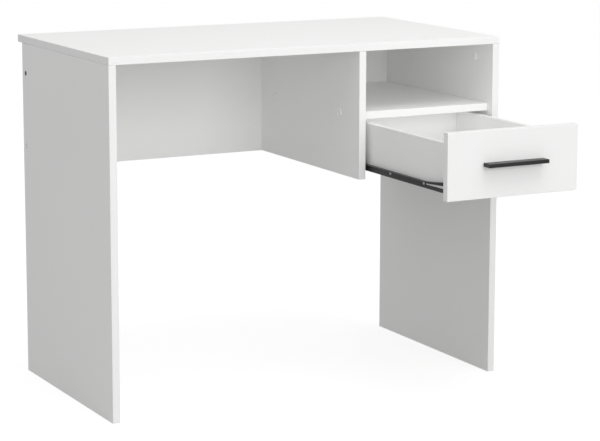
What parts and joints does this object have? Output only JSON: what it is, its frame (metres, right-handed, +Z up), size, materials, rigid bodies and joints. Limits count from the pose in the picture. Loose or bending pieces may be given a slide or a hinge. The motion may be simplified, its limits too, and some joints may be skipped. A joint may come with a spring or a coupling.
{
  "type": "writing desk with drawer",
  "caption": "White panel writing desk with an open cubby and a drawer on roller slides, shown with the drawer drawn out.",
  "frame": {"origin": "on the floor, under the middle of the box round the desk with its drawer standing out as at rest", "axes": "+X along the desk's width to the right, +Y from the front towards the back, +Z up"},
  "size_m": [0.92, 0.8598, 0.75],
  "materials": {
    "white_laminate": "white melamine foil on 16 mm chipboard, satin with a very fine pearl grain, matching edge band",
    "white_fibreboard": "white lacquered thin fibreboard, matt",
    "black_steel": "black epoxy powder coat on rolled steel sheet, semi-gloss with a faint orange peel",
    "black_handle": "black anodised aluminium bar, satin, finely brushed along its length",
    "white_nylon": "moulded natural nylon, satin",
    "zinc": "bright zinc-plated steel",
    "white_cap": "moulded white plastic cover cap, satin"
  },
  "bodies": {
    "carcass": {"desktop": "white_laminate", "left_side_panel": "white_laminate", "right_side_panel": "white_laminate", "back_panel": "white_laminate", "divider_panel": "white_laminate", "shelf": "white_laminate", "left_cabinet_rail": "black_steel", "right_cabinet_rail": "black_steel", "left_cabinet_roller_axle": "zinc", "right_cabinet_roller_axle": "zinc", "left_cabinet_rail_screw_1": "zinc", "left_cabinet_rail_screw_2": "zinc", "right_cabinet_rail_screw_1": "zinc", "right_cabinet_rail_screw_2": "zinc", "left_front_top_cam": "zinc", "left_front_top_bolt": "zinc", "left_rear_top_cam": "zinc", "left_rear_top_bolt": "zinc", "right_front_top_cam": "zinc", "right_front_top_bolt": "zinc", "right_rear_top_cam": "zinc", "right_rear_top_bolt": "zinc", "divider_top_cam": "zinc", "divider_top_bolt": "zinc", "shelf_left_front_screw": "zinc", "shelf_left_rear_screw": "zinc", "shelf_right_front_screw": "zinc", "shelf_right_rear_screw": "zinc", "shelf_front_screw_cap": "white_cap", "shelf_rear_screw_cap": "white_cap", "back_left_upper_screw": "zinc", "back_left_lower_screw": "zinc", "back_right_upper_screw": "zinc", "back_right_lower_screw": "zinc", "back_divider_upper_screw": "zinc", "back_divider_lower_screw": "zinc"},
    "drawer": {"drawer_front": "white_laminate", "drawer_left_side": "white_laminate", "drawer_right_side": "white_laminate", "drawer_back": "white_laminate", "drawer_bottom": "white_fibreboard", "handle": "black_handle", "handle_screw_left": "zinc", "handle_screw_right": "zinc", "left_drawer_rail": "black_steel", "right_drawer_rail": "black_steel", "left_drawer_roller_axle": "zinc", "right_drawer_roller_axle": "zinc", "left_drawer_rail_screw_1": "zinc", "left_drawer_rail_screw_2": "zinc", "right_drawer_rail_screw_1": "zinc", "right_drawer_rail_screw_2": "zinc", "drawer_left_front_cam": "zinc", "drawer_left_front_bolt": "zinc", "drawer_right_front_cam": "zinc", "drawer_right_front_bolt": "zinc"},
    "left_cabinet_roller": {"left_cabinet_roller": "white_nylon"},
    "right_cabinet_roller": {"right_cabinet_roller": "white_nylon"},
    "left_drawer_roller": {"left_drawer_roller": "white_nylon"},
    "right_drawer_roller": {"right_drawer_roller": "white_nylon"}
  },
  "joints": [
    {"name": "drawer_slide", "type": "slide", "parent": "carcass", "child": "drawer", "axis": [0, -1, 0], "range_m": [-0.3268, 0.0132]},
    {"name": "left_cabinet_roller_spin", "type": "hinge", "parent": "carcass", "child": "left_cabinet_roller", "pos_m": [0.1324, -0.0501, 0.4831], "axis": [1, 0, 0], "range_deg": [-2900, 130]},
    {"name": "right_cabinet_roller_spin", "type": "hinge", "parent": "carcass", "child": "right_cabinet_roller", "pos_m": [0.4386, -0.0501, 0.4831], "axis": [1, 0, 0], "range_deg": [-2900, 130]},
    {"name": "left_drawer_roller_spin", "type": "hinge", "parent": "drawer", "child": "left_drawer_roller", "pos_m": [0.1341, 0.0001, 0.4831], "axis": [1, 0, 0], "range_deg": [-2900, 130]},
    {"name": "right_drawer_roller_spin", "type": "hinge", "parent": "drawer", "child": "right_drawer_roller", "pos_m": [0.4369, 0.0001, 0.4831], "axis": [1, 0, 0], "range_deg": [-2900, 130]}
  ],
  "couplings": [
    {"joint": "left_cabinet_roller_spin", "follows": "drawer_slide", "rad_per_m": 153.85},
    {"joint": "right_cabinet_roller_spin", "follows": "drawer_slide", "rad_per_m": 153.85},
    {"joint": "left_drawer_roller_spin", "follows": "drawer_slide", "rad_per_m": 153.85},
    {"joint": "right_drawer_roller_spin", "follows": "drawer_slide", "rad_per_m": 153.85}
  ]
}
